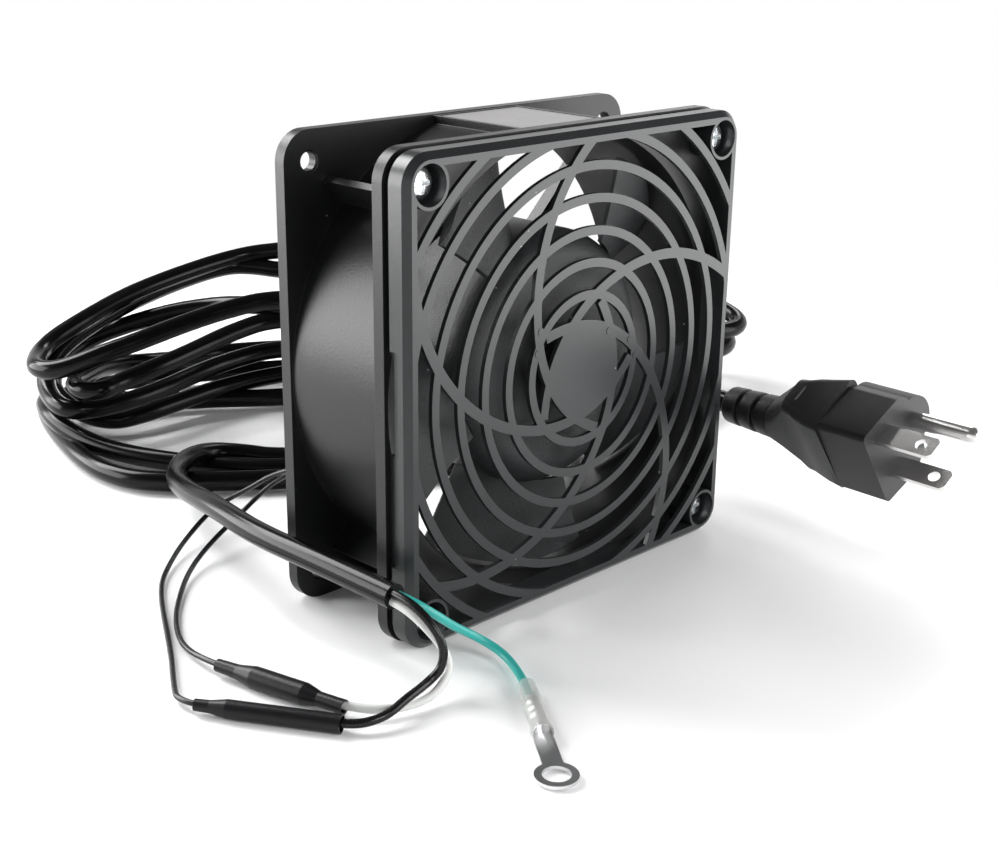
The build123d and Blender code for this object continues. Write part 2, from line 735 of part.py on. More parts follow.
write("power_cord_tail", tail)
write("cord_black_wire", tube("cord_black_wire", black_points, wire_d))
write("cord_white_wire", tube("cord_white_wire", white_points, wire_d))
write("cord_green_wire", green)
write("ring_terminal", terminal)
write("terminal_sleeve", terminal_sleeve(terminal))
write("plug_line_blade", line_blade)
write("plug_neutral_blade", neutral_blade)
write("plug_ground_pin", pin)
write("plug_body", plug_body([line_blade, neutral_blade, pin]))
write("plug_strain_relief", plug_strain_relief(tail))
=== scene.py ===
import json
import math

import bmesh
import bpy
from mathutils import Euler, Matrix, Vector


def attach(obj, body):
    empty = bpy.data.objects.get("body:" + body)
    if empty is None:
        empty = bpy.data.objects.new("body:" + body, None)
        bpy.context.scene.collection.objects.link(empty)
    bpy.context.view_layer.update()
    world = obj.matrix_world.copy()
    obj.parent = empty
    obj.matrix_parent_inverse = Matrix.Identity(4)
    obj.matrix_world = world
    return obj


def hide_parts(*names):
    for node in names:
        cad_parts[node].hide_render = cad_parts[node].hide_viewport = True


bl_info = {
    "name": "Rack cooling fan",
    "version": (1, 0, 0),
    "blender": (4, 5, 0),
    "location": "View3D > Sidebar > Rack fan",
    "description": "Builds the looks of a rack cooling fan and its cord around the packed frame",
    "category": "Object",
}

MM = 0.001
STATIC = "fan_body"
SPINNING = "rotor"
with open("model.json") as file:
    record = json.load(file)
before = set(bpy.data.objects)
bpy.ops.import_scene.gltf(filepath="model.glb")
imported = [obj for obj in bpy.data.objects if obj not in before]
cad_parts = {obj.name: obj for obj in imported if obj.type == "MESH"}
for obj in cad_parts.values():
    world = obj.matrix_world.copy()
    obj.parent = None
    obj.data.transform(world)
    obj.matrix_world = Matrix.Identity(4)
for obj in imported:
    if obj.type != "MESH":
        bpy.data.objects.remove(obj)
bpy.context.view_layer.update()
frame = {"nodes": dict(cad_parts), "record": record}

# The fan's own frame: x to the right, y up, z from the rear face to the guard's front
GUARD_FRONT = 45.5
FAN_HALF = 60
FAN = Matrix.Translation((0, GUARD_FRONT / 2 * MM, FAN_HALF * MM)) @ Matrix.Rotation(math.radians(90), 4, "X")


# Settings
class FanCordSettings(bpy.types.PropertyGroup):
    jacket: bpy.props.FloatProperty(
        name="Jacket", description="Diameter of the power cord", default=6.2 * MM,
        min=4 * MM, max=9 * MM, unit="LENGTH", subtype="DISTANCE")
    wire: bpy.props.FloatProperty(
        name="Wires", description="Diameter of each wire inside the cord", default=2.1 * MM,
        min=1 * MM, max=3 * MM, unit="LENGTH", subtype="DISTANCE")
    lead: bpy.props.FloatProperty(
        name="Leads", description="Diameter of the motor's leads", default=1.4 * MM,
        min=0.8 * MM, max=2.5 * MM, unit="LENGTH", subtype="DISTANCE")


class FanStageSettings(bpy.types.PropertyGroup):
    level: bpy.props.FloatProperty(
        name="Light level", description="Scales all the softboxes together", default=1.0, min=0, max=5)
    backdrop: bpy.props.FloatProperty(
        name="Backdrop", description="Brightness of the white backdrop", default=1.0, min=0, max=5)


# Materials
def value_group(name, build, inputs, outputs):
    group = bpy.data.node_groups.get(name)
    if group:
        return group
    group = bpy.data.node_groups.new(name, "ShaderNodeTree")
    for label, kind, default in inputs:
        socket = group.interface.new_socket(label, in_out="INPUT", socket_type=kind)
        socket.default_value = default
    for label, kind in outputs:
        group.interface.new_socket(label, in_out="OUTPUT", socket_type=kind)
    start = group.nodes.new("NodeGroupInput")
    end = group.nodes.new("NodeGroupOutput")
    build(group, start, end)
    return group


def node(tree, kind, settings=(), **values):
    made = tree.nodes.new(kind)
    for label, value in settings:
        setattr(made, label, value)
    for label, value in values.items():
        made.inputs[label.replace("_", " ")].default_value = value
    return made


# Fine moulded texture: a bump from a fine noise, with that noise and a broad one as masks
def build_grain(tree, start, end):
    link = tree.links.new
    place = node(tree, "ShaderNodeTexCoord")
    fine = node(tree, "ShaderNodeTexNoise", Detail=3.0, Roughness=0.6)
    broad = node(tree, "ShaderNodeTexNoise", Scale=60.0, Detail=2.0)
    bump = node(tree, "ShaderNodeBump", Distance=0.0004)
    link(place.outputs["Object"], fine.inputs["Vector"])
    link(place.outputs["Object"], broad.inputs["Vector"])
    link(start.outputs["Scale"], fine.inputs["Scale"])
    link(fine.outputs["Fac"], bump.inputs["Height"])
    link(start.outputs["Strength"], bump.inputs["Strength"])
    link(bump.outputs["Normal"], end.inputs["Normal"])
    link(fine.outputs["Fac"], end.inputs["Fine"])
    link(broad.outputs["Fac"], end.inputs["Broad"])


def grain_group():
    return value_group(
        "SurfaceGrain", build_grain,
        [("Scale", "NodeSocketFloat", 2500.0), ("Strength", "NodeSocketFloat", 0.3)],
        [("Normal", "NodeSocketVector"), ("Fine", "NodeSocketFloat"), ("Broad", "NodeSocketFloat")])


# Dust specks: small bright dots scattered by a cell pattern
def build_specks(tree, start, end):
    link = tree.links.new
    place = node(tree, "ShaderNodeTexCoord")
    cells = node(tree, "ShaderNodeTexVoronoi", [("feature", "F1")])
    size = node(tree, "ShaderNodeMapRange", From_Min=0.1, From_Max=0.03, To_Min=0.0, To_Max=1.0)
    pick = node(tree, "ShaderNodeSeparateColor")
    keep = node(tree, "ShaderNodeMath", [("operation", "LESS_THAN")])
    both = node(tree, "ShaderNodeMath", [("operation", "MULTIPLY")])
    link(place.outputs["Object"], cells.inputs["Vector"])
    link(start.outputs["Scale"], cells.inputs["Scale"])
    link(cells.outputs["Distance"], size.inputs["Value"])
    link(cells.outputs["Color"], pick.inputs["Color"])
    link(pick.outputs["Red"], keep.inputs[0])
    link(start.outputs["Share"], keep.inputs[1])
    link(size.outputs["Result"], both.inputs[0])
    link(keep.outputs["Value"], both.inputs[1])
    link(both.outputs["Value"], end.inputs["Mask"])


def speck_group():
    return value_group(
        "DustSpecks", build_specks,
        [("Scale", "NodeSocketFloat", 400.0), ("Share", "NodeSocketFloat", 0.05)],
        [("Mask", "NodeSocketFloat")])


SPECK_SCALE = 420.0
DUST_COLOR = (0.5, 0.5, 0.48, 1)


def surface(name, color, rough, metal=0.0, grain=2500.0, bump=0.2, vary=0.25, specks=0.0, ior=1.5, clear=0.0):
    made = bpy.data.materials.new(name)
    made.use_nodes = True
    tree = made.node_tree
    link = tree.links.new
    shader = tree.nodes["Principled BSDF"]
    shader.inputs["Metallic"].default_value = metal
    shader.inputs["IOR"].default_value = ior
    shader.inputs["Transmission Weight"].default_value = clear
    texture = node(tree, "ShaderNodeGroup", [("node_tree", grain_group())], Scale=grain, Strength=bump)
    low = [c * (1 - vary) for c in color]
    high = [min(1, c * (1 + vary)) for c in color]
    tint = node(tree, "ShaderNodeMix", [("data_type", "RGBA")])
    tint.inputs[6].default_value = (*low, 1)
    tint.inputs[7].default_value = (*high, 1)
    link(texture.outputs["Broad"], tint.inputs["Factor"])
    shine = node(tree, "ShaderNodeMapRange", To_Min=max(0.02, rough * 0.85), To_Max=min(1, rough * 1.2))
    link(texture.outputs["Fine"], shine.inputs["Value"])
    link(shine.outputs["Result"], shader.inputs["Roughness"])
    link(texture.outputs["Normal"], shader.inputs["Normal"])
    if specks:
        dots = node(tree, "ShaderNodeGroup", [("node_tree", speck_group())], Scale=SPECK_SCALE, Share=specks)
        dusty = node(tree, "ShaderNodeMix", [("data_type", "RGBA")])
        dusty.inputs[7].default_value = DUST_COLOR
        link(dots.outputs["Mask"], dusty.inputs["Factor"])
        link(tint.outputs[2], dusty.inputs[6])
        link(dusty.outputs[2], shader.inputs["Base Color"])
    else:
        link(tint.outputs[2], shader.inputs["Base Color"])
    return made


FINISHES = {
    "frame_paint": dict(color=(0.006, 0.0062, 0.0066), rough=0.36, grain=1600, bump=0.12, specks=0.04,
                        ior=1.42),
    "label_film": dict(color=(0.24, 0.23, 0.235), rough=0.3, grain=900, bump=0.03),
    "guard_plastic": dict(color=(0.0155, 0.017, 0.018), rough=0.3, grain=1500, bump=0.06, specks=0.05),
    "impeller_plastic": dict(color=(0.017, 0.0185, 0.0195), rough=0.46, grain=2600, bump=0.5, specks=0.08),
    "zinc_steel": dict(color=(0.84, 0.91, 0.94), rough=0.24, metal=1.0, grain=900, bump=0.05),
    "bare_steel": dict(color=(0.5, 0.5, 0.5), rough=0.3, metal=1.0, grain=900, bump=0.05),
    "lamination_steel": dict(color=(0.28, 0.28, 0.3), rough=0.45, metal=1.0, grain=2000, bump=0.1),
    "cast_aluminium": dict(color=(0.7, 0.7, 0.71), rough=0.45, metal=1.0, grain=1500, bump=0.1),
    "brass": dict(color=(0.75, 0.58, 0.28), rough=0.3, metal=1.0, grain=900, bump=0.05),
    "copper": dict(color=(0.6, 0.25, 0.12), rough=0.35, metal=1.0, grain=2500, bump=0.3),
    "nylon": dict(color=(0.8, 0.78, 0.7), rough=0.5, grain=1500, bump=0.05),
    "black_rubber": dict(color=(0.008, 0.008, 0.008), rough=0.6, grain=2000, bump=0.1, ior=1.4),
    "cord_jacket": dict(color=(0.003, 0.003, 0.0034), rough=0.18, grain=2200, bump=0.04, ior=1.27),
    "wire_black": dict(color=(0.005, 0.005, 0.0055), rough=0.26, grain=2500, bump=0.04, ior=1.38),
    "wire_white": dict(color=(0.66, 0.67, 0.65), rough=0.35, grain=2500, bump=0.03, vary=0.06),
    "wire_green": dict(color=(0.03, 0.38, 0.34), rough=0.32, grain=2500, bump=0.04, vary=0.12),
    "shrink_sleeve": dict(color=(0.006, 0.006, 0.007), rough=0.34, grain=1800, bump=0.12, ior=1.32),
    "clear_sleeve": dict(color=(0.93, 0.94, 0.92), rough=0.2, grain=900, bump=0.05, clear=0.8, vary=0.03),
    "terminal_metal": dict(color=(0.78, 0.78, 0.79), rough=0.3, metal=1.0, grain=900, bump=0.1),
    "plug_plastic": dict(color=(0.008, 0.008, 0.009), rough=0.42, grain=3200, bump=0.3, ior=1.42),
    "plug_metal": dict(color=(0.9, 0.85, 0.82), rough=0.24, metal=1.0, grain=700, bump=0.04),
}


def finish_of(slot):
    name = f"{slot}_finish"
    return bpy.data.materials.get(name) or surface(name, **FINISHES[slot])


def add_piece(name, mesh, slot, body, replaces=()):
    piece = bpy.data.objects.new(name, mesh)
    bpy.context.scene.collection.objects.link(piece)
    piece.data.materials.append(finish_of(slot))
    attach(piece, body)
    if replaces:
        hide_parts(*replaces)
    return piece


# Edges sharper than this stay crisp in the shading and are rounded
SHARP = math.radians(35)
WELD = 0.002 * MM
FLAT = math.radians(0.5)

# Carried-over pieces whose edges are rounded: node, piece, edge radius in mm, body
ROUNDED = [
    ("fan_frame", "FanFrame", 0.35, STATIC),
    ("guard_screws", "GuardScrews", 0.12, STATIC),
    ("impeller", "Impeller", 0.25, SPINNING),
    ("plug_strain_relief", "StrainRelief", 0.25, STATIC),
    ("plug_line_blade", "LineBlade", 0.12, STATIC),
    ("plug_neutral_blade", "NeutralBlade", 0.12, STATIC),
]


def smooth_mesh(shape, name):
    for face in shape.faces:
        face.smooth = True
    for edge in shape.edges:
        edge.smooth = len(edge.link_faces) != 2 or edge.calc_face_angle() < SHARP
    mesh = bpy.data.meshes.new(name)
    shape.to_mesh(mesh)
    shape.free()
    return mesh


def rounded_copy(node_name, name, radius, body, extra=None):
    source = frame["nodes"][node_name]
    slot = next(p["material_slot"] for p in frame["record"]["subparts"] if p["node"] == node_name)
    shape = bmesh.new()
    shape.from_mesh(source.data)
    bmesh.ops.remove_doubles(shape, verts=shape.verts, dist=WELD)
    bmesh.ops.dissolve_limit(shape, angle_limit=FLAT, verts=shape.verts, edges=shape.edges)
    if extra:
        extra(shape)
    piece = add_piece(name, smooth_mesh(shape, name), slot, body, (node_name,))
    bevel = piece.modifiers.new("RoundedEdges", "BEVEL")
    bevel.width = radius * MM
    bevel.segments = 2
    bevel.limit_method = "ANGLE"
    bevel.angle_limit = SHARP
    bevel.harden_normals = True
    return piece


# Moulding marks of the ejector pins, each a low round step, with places in the fan's own frame
EJECTOR_RADIUS = 1.0
EJECTOR_RISE = 0.12
EJECTOR_HEIGHT = 0.5
EJECTOR_MARKS = [(-16.3, 12.6), (8.9, 8.2), (17.3, 4.4), (-17.2, 7.3), (19.6, -0.3)]


def ejector_marks(shape):
    for x, y in EJECTOR_MARKS:
        made = bmesh.ops.create_circle(shape, cap_ends=True, segments=24, radius=EJECTOR_RADIUS * MM)
        face = made["verts"][0].link_faces[0]
        raised = bmesh.ops.extrude_face_region(shape, geom=[face])
        top = [part for part in raised["geom"] if isinstance(part, bmesh.types.BMVert)]
        bmesh.ops.translate(shape, verts=top, vec=(0, 0, EJECTOR_HEIGHT * MM))
        foot = GUARD_FRONT + EJECTOR_RISE - EJECTOR_HEIGHT
        place = FAN @ Matrix.Translation(Vector((x, y, foot)) * MM)
        bmesh.ops.transform(shape, matrix=place, verts=list(set(made["verts"]) | set(top)))


# Plug, in its own frame: x across the blades, y towards the ground pin, z out of the plug's face
PLUG_FACE = Vector((68.0, -71.5, 34.1))
PLUG_OUT = Vector((-0.0797, -0.9966, 0.0199))
PLUG_ACROSS = Vector((0.56, -0.0613, -0.8262))
GROUND_OFFSET = 11.9


def plug_frame():
    out = PLUG_OUT.normalized()
    across = (PLUG_ACROSS - out * PLUG_ACROSS.dot(out)).normalized()
    turn = Matrix((across, out.cross(across), out)).transposed().to_4x4()
    return Matrix.Translation(PLUG_FACE * MM) @ turn


# Sections of the moulding behind the plug's block: distance behind the face, width, height, corner, middle
GRIP_SECTIONS = [(15.5, 26.2, 19.6, 2.2, (1.2, 2.1)), (20.0, 26.6, 17.4, 2.6, (0.8, 1.5)),
                 (23.5, 27.0, 15.4, 3.0, (0.4, 1.2)), (25.5, 28.2, 12.8, 3.0, (0.1, 0.6)),
                 (28.0, 28.2, 12.2, 3.2, (0, 0.5)), (29.5, 24.5, 12.2, 4.0, (0, 0.4)),
                 (34.0, 16.0, 12.6, 5.0, (0, 0.2)), (37.5, 12.6, 12.4, 6.1, (0, 0))]


def grip_moulding(shape):
    loops = []
    for back, width, height, corner, middle in GRIP_SECTIONS:
        before = set(shape.faces)
        made = bmesh.ops.create_grid(shape, x_segments=1, y_segments=1, size=0.5)
        bmesh.ops.scale(shape, vec=(width * MM, height * MM, 1), verts=made["verts"])
        bmesh.ops.bevel(shape, geom=made["verts"], offset=corner * MM, segments=6, profile=0.5,
                        affect="VERTICES", material=-1)
        face = next(iter(set(shape.faces) - before))
        place = plug_frame() @ Matrix.Translation(Vector((*middle, -back)) * MM)
        bmesh.ops.transform(shape, matrix=place, verts=face.verts)
        loops.append((face, list(face.edges)))
    for (_, first), (_, second) in zip(loops, loops[1:]):
        bmesh.ops.bridge_loops(shape, edges=first + second)
    inner = [face for face, _ in loops[1:-1]]
    bmesh.ops.delete(shape, geom=inner, context="FACES_ONLY")
    bmesh.ops.recalc_face_normals(shape, faces=shape.faces)


# Turns a profile of (radius, distance along z) fully around
def turned_mesh(name, profile, place):
    shape = bmesh.new()
    points = [shape.verts.new((radius * MM, 0, along * MM)) for radius, along in profile]
    edges = [shape.edges.new(pair) for pair in zip(points, points[1:])]
    bmesh.ops.spin(shape, geom=points + edges, axis=(0, 0, 1), cent=(0, 0, 0), angle=math.tau, steps=40,
                   use_merge=True)
    bmesh.ops.remove_doubles(shape, verts=shape.verts, dist=0.001 * MM)
    bmesh.ops.recalc_face_normals(shape, faces=shape.faces)
    bmesh.ops.transform(shape, matrix=place, verts=shape.verts)
    return smooth_mesh(shape, name)


# Ring terminal, in its own frame: z from the start of the sleeve towards the ring
TERMINAL_START = Vector((-52.0, -54.0, 2.2))
TERMINAL_HEADING = Vector((-0.587, -0.81, 0))
STRAND_RADIUS = 1.35
STRAND_LENGTH = 12.5
BARREL_MIDDLE = 13.0
CRIMP_SPACING = 2.8
CRIMP_RADII = (2.0, 1.7)
CRIMP_WIDTH = 1.3


def terminal_frame():
    along = TERMINAL_HEADING.normalized()
    up = Vector((0, 0, 1))
    turn = Matrix((along, up.cross(along), up)).transposed().to_4x4()
    return Matrix.Translation(TERMINAL_START * MM) @ turn @ Matrix.Rotation(math.radians(90), 4, "Y")


def round_stub(shape, first, second, length, at):
    made = bmesh.ops.create_cone(shape, cap_ends=True, segments=20, radius1=first * MM, radius2=second * MM,
                                 depth=length * MM)
    place = terminal_frame() @ Matrix.Translation((0, 0, at * MM))
    bmesh.ops.transform(shape, matrix=place, verts=made["verts"])


# The wire's strands fill the barrel, and three crimps stand around it
def crimped_strands(shape):
    round_stub(shape, STRAND_RADIUS, STRAND_RADIUS, STRAND_LENGTH, BARREL_MIDDLE)
    for step in (-1, 0, 1):
        round_stub(shape, *CRIMP_RADII, CRIMP_WIDTH, BARREL_MIDDLE + step * CRIMP_SPACING)


# Outlines of turned pieces: radius, and distance along the axis
TERMINAL_SLEEVE = [(2.2, 0), (2.3, 3), (2.25, 7), (2.35, 11), (2.3, 16), (2.4, 20.5), (2.28, 21),
                   (2.12, 20.5), (2.05, 16), (2.05, 7), (2.0, 0.2), (2.2, 0)]
GROUND_PIN = [(0, -9.8), (1.8, -9.8), (1.8, -0.6), (2.37, -0.4), (2.37, 17.6), (2.26, 18.5), (1.95, 19.4),
              (1.45, 20.1), (0.8, 20.5), (0, 20.6)]


# Cords. Each route has the part's own points, but the far half of the jacket's lies up to 4 mm from them
JACKET = [(-67, -26, 20), (-67, 0, 20), (-66.3, 27, 19), (-61, 53, 17.5), (-53, 81, 13), (-45, 96, 10.5),
          (-34.5, 107.5, 9.2), (-22, 114, 7.2), (-10, 110, 4.6), (-4, 102, 3.6)]
TAIL = [(30, 130.3, 44), (46.8, 112.5, 43), (63.5, 93.5, 41), (73, 77, 38), (77.5, 56, 35), (77, 31, 33),
        (74.2, 5, 32.6), (72.03, -21.7, 33.1)]
BLACK = [(-67.625, -26, 21.08), (-67.625, -31, 21.08), (-67.2, -37.5, 18.5), (-65.8, -41.5, 13),
         (-66, -41, 7), (-69.5, -40, 4.4), (-73.5, -41.4, 4.6), (-78.3, -42.4, 4.4), (-84.5, -43.2, 3),
         (-90.3, -41, 2.2), (-94.6, -35.4, 2.2), (-98.3, -29.4, 2.2)]
WHITE = [(-67.625, -26, 18.92), (-67.625, -30, 18.92), (-66, -35.5, 15.5), (-63.5, -39.5, 10),
         (-63.5, -41, 4.8), (-72.5, -43, 1.2), (-87.45, -37.9, 2.7), (-91, -23, 2.7)]
GREEN = [(-65.75, -26, 20), (-65.75, -30.5, 20), (-61, -33.5, 16), (-54.5, -33, 10.5), (-48, -33.5, 6),
         (-45, -39, 3), (-47, -46, 1.8), (-52, -54, 2.2), (-57.3, -61.3, 2.2)]
LEAD_A = [(-36.6, 19.5, 25.4), (-36.6, 26.5, 25.4), (-36.9, 37.5, 25.2), (-37.4, 48.5, 23.4),
          (-38.2, 58.6, 18.8), (-40, 66, 13.4), (-42.8, 71.6, 9.6), (-48, 74, 6.4), (-55, 71.8, 3.9),
          (-63.5, 66.8, 2.2), (-70.7, 61, 1.3), (-78, 54, 0.9), (-84.8, 44, 0.9), (-93.5, 28.5, 0.9),
          (-101, 15, 0.9), (-108.5, 3, 1.2), (-113.1, -5.6, 2.2), (-108.1, -13.7, 2.2)]
LEAD_B = [(-34.2, 19.5, 23.8), (-34.2, 27, 23.8), (-34.4, 38, 23.6), (-35.2, 49, 22), (-36.6, 57.6, 17.6),
          (-40.2, 62.3, 12), (-46.5, 62.8, 7.8), (-55, 61.3, 4.6), (-64.8, 56.4, 2.6), (-72.4, 50.8, 1.3),
          (-79.6, 43.2, 0.9), (-88, 33, 0.9), (-95.3, 20, 0.9), (-97.9, 5.9, 2.7), (-94.9, -6.6, 2.7)]

# The photograph's camera, and the picture's middle in pixels
CAMERA_SPOT = (-0.280254, -0.269694, 0.172811)
CAMERA_TURN = (1.2367924, -0.0123114, -0.7871731)
LENS = 55.89
SENSOR = 36
PICTURE_WIDTH = 998
PICTURE_MIDDLE = Vector((499, 430))

# The loose hank lies along its own axis. A hidden stretch has points along it, across it and above the floor.
# A seen stretch has points read from an enlarged corner of the photograph, across and down, with the height
# above the floor. Each turn runs behind the fan, along the far side to the left end and back on the near side
HANK_CENTRE = Vector((74, 125, 0))
HANK_TURN = Matrix.Rotation(math.radians(-35.3), 3, "Z")
ENLARGED_CORNER = Vector((20, 240))
ENLARGED_BY = 3.732
HANK = [
    ("hidden", [(-10, -67, 4.2), (35, -58, 4.2), (78, -34, 4.4), (100, -6, 4.8), (92, 20, 5), (55, 32, 5),
                (0, 32, 5), (-60, 30, 4.6), (-104, 24, 4.2)]),
    ("seen", [(84, 600, 4), (122, 700, 4), (255, 838, 3.8), (400, 893, 3.6), (560, 903, 3.6), (750, 900, 3.6),
              (980, 893, 3.6)]),
    ("hidden", [(-5, -82, 4), (45, -72, 5), (92, -44, 8), (112, -6, 10), (100, 20, 10), (60, 16, 7),
                (0, 2, 4.6)]),
    ("seen", [(960, 589, 4), (760, 592, 4), (600, 600, 4), (450, 600, 5), (300, 592, 7), (160, 580, 9),
              (84, 596, 10), (112, 655, 10), (200, 727, 7), (350, 790, 4.2), (560, 828, 3.6)]),
    ("hidden", [(-66, -68.5, 3.4), (-48, -73.5, 3.4), (-5, -74, 4), (40, -62, 8), (80, -36, 12),
                (101, -8, 14), (94, 14, 19), (52, 10, 28), (4, -4, 34), (-40, -4, 36.5)]),
    ("seen", [(820, 240, 36), (733, 243, 34), (600, 262, 32), (500, 286, 30), (380, 322, 27), (250, 372, 23),
              (160, 440, 19), (122, 500, 15), (125, 570, 11), (210, 640, 7), (340, 680, 5), (466, 649, 6),
              (600, 602, 7), (733, 554, 8), (960, 500, 10)]),
    ("hidden", [(-10, 10, 12), (40, 6, 14), (88, -6, 15), (111, -2, 15), (116, 14, 16), (98, 26, 19),
                (60, 32, 27), (10, 38, 34)]),
    ("seen", [(960, 112, 39.3), (880, 98, 40.3), (770, 96, 40.8), (600, 150, 38), (400, 236, 35),
              (240, 330, 30), (140, 412, 26), (92, 500, 20), (104, 575, 16), (152, 627, 15), (230, 640, 14),
              (400, 604, 14), (533, 556, 15), (666, 494, 16), (800, 445, 17), (965, 402, 19)]),
    ("hidden", [(-10, 0, 21), (50, -6, 20), (94, -14, 17), (117, -4, 16), (121, 14, 17), (103, 27, 17),
                (66, 32, 14), (0, 32, 12)]),
    ("seen", [(800, 410, 11), (640, 440, 12), (506, 452, 15), (373, 462, 17.5), (293, 479, 19.5),
              (227, 516, 21)]),
    ("hidden", [(-113, -36, 22), (-110.5, -43.5, 22), (-104, -45.5, 22)]),
    ("seen", [(373, 531, 22.5), (506, 476, 25), (640, 418, 27), (800, 340, 30), (955, 290, 32)]),
    ("hidden", [(-10, -6, 33), (50, -14, 28), (100, -12, 24), (126, 0, 23), (116, 22, 28), (72, 36, 42),
                (10, 38, 50)]),
    ("seen", [(955, 37, 46), (800, 62, 44), (600, 126, 41), (400, 205, 38), (250, 290, 35), (130, 365, 31),
              (76, 418, 28.5)]),
    ("hidden", [(-125, -29, 28), (-124, -36.5, 28), (-119.5, -41.5, 28.2), (-112.5, -42.5, 29.8)]),
    ("seen", [(300, 428, 33), (450, 375, 36), (600, 316, 39), (750, 265, 42), (955, 214, 44)]),
]


def seen_point(across, down, height):
    pixel = ENLARGED_CORNER + Vector((across, down)) / ENLARGED_BY
    offset = (pixel - PICTURE_MIDDLE) * SENSOR / (LENS * PICTURE_WIDTH)
    ray = Euler(CAMERA_TURN).to_matrix() @ Vector((offset.x, -offset.y, -1))
    camera = Vector(CAMERA_SPOT) / MM
    spot = camera + ray * (height - camera.z) / ray.z
    return (spot.x, spot.y, height)


def hidden_point(along, across, height):
    spot = HANK_CENTRE + HANK_TURN @ Vector((along, across, 0))
    return (spot.x, spot.y, height)


def hank_route():
    placed = []
    for kind, points in HANK:
        place = seen_point if kind == "seen" else hidden_point
        placed += [place(*point) for point in points]
    return placed


def cord_curve(name, points, diameter, slot):
    data = bpy.data.curves.new(name, "CURVE")
    data.dimensions = "3D"
    spline = data.splines.new("NURBS")
    spline.points.add(len(points) - 1)
    for control, point in zip(spline.points, points):
        control.co = (*(Vector(point) * MM), 1)
    spline.order_u = 3
    spline.use_endpoint_u = True
    spline.resolution_u = 8
    data.bevel_depth = diameter / 2
    data.bevel_resolution = 6
    data.use_fill_caps = True
    return add_piece(name, data, slot, STATIC)


def curve_length(piece):
    copy = piece.data.copy()
    copy.bevel_depth = 0
    probe = bpy.data.objects.new("probe", copy)
    bpy.context.scene.collection.objects.link(probe)
    bpy.context.view_layer.update()
    mesh = bpy.data.meshes.new_from_object(probe.evaluated_get(bpy.context.evaluated_depsgraph_get()))
    spots = [vertex.co for vertex in mesh.vertices]
    total = sum((spots[edge.vertices[0]] - spots[edge.vertices[1]]).length for edge in mesh.edges)
    bpy.data.objects.remove(probe)
    bpy.data.meshes.remove(mesh)
    bpy.data.curves.remove(copy)
    return total


def free_cord(name, points, diameter, slot, replaced):
    piece = cord_curve(name, points, diameter, slot)
    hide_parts(*replaced)
    length = curve_length(piece)
    print(f"{name}: {length:.3f} m")
    return piece


# Stage: each softbox has its place, what it faces, its width and height, and its brightness
SOFTBOXES = [
    ("FrontCard", (0.172, -0.19, 0.10), (0, 0, 0.10), (0.34, 0.2), 3.4),
    ("RearLeftCard", (-0.35, 0.42, 0.17), (-0.05, 0, 0.08), (0.5, 0.32), 8.0),
    ("RearTop", (-0.165, 0.73, 0.71), (0, 0.03, 0.05), (0.5, 0.5), 12.7),
    ("RightTop", (0.75, 0.42, 0.6), (0, 0.05, 0.03), (0.3, 0.3), 6.0),
    ("FrontTop", (-0.1, -0.85, 0.5), (0, 0, 0.06), (0.28, 0.28), 14.0),
]


def soft_light(name, spot, aim, size, brightness):
    data = bpy.data.lights.new(name, "AREA")
    data.shape = "RECTANGLE"
    data.size, data.size_y = size
    data.energy = brightness * math.pi * data.size * data.size_y
    light = bpy.data.objects.new(name, data)
    light.location = spot
    light.rotation_euler = (Vector(aim) - Vector(spot)).to_track_quat("-Z", "Y").to_euler()
    bpy.context.scene.collection.objects.link(light)
    return light


# The world is bright near the horizon and dim overhead. The floor fades out around the object
HORIZON_TOP = 0.2
OVERHEAD_FROM = 0.5
OVERHEAD = 0.1
FLOOR_MIDDLE = (0.03, 0.05, -0.0001)
FLOOR_RADIUS = 0.8
FADE_FROM = 0.22
FADE_TO = 0.42


def white_world(strength):
    world = bpy.data.worlds.new("Studio")
    world.use_nodes = True
    tree = world.node_tree
    background = tree.nodes["Background"]
    background.inputs["Color"].default_value = (1, 1, 1, 1)
    seen = node(tree, "ShaderNodeBackground", Strength=strength)
    seen.inputs["Color"].default_value = (1, 1, 1, 1)
    path = node(tree, "ShaderNodeLightPath")
    mix = node(tree, "ShaderNodeMixShader")
    way = node(tree, "ShaderNodeTexCoord")
    parts = node(tree, "ShaderNodeSeparateXYZ")
    glow = node(tree, "ShaderNodeMapRange", [("interpolation_type", "SMOOTHSTEP")],
                From_Min=HORIZON_TOP, From_Max=OVERHEAD_FROM, To_Min=strength, To_Max=OVERHEAD)
    tree.links.new(way.outputs["Generated"], parts.inputs[0])
    tree.links.new(parts.outputs["Z"], glow.inputs["Value"])
    tree.links.new(glow.outputs["Result"], background.inputs["Strength"])
    tree.links.new(path.outputs["Is Camera Ray"], mix.inputs["Fac"])
    tree.links.new(background.outputs[0], mix.inputs[1])
    tree.links.new(seen.outputs[0], mix.inputs[2])
    tree.links.new(mix.outputs[0], tree.nodes["World Output"].inputs["Surface"])
    bpy.context.scene.world = world


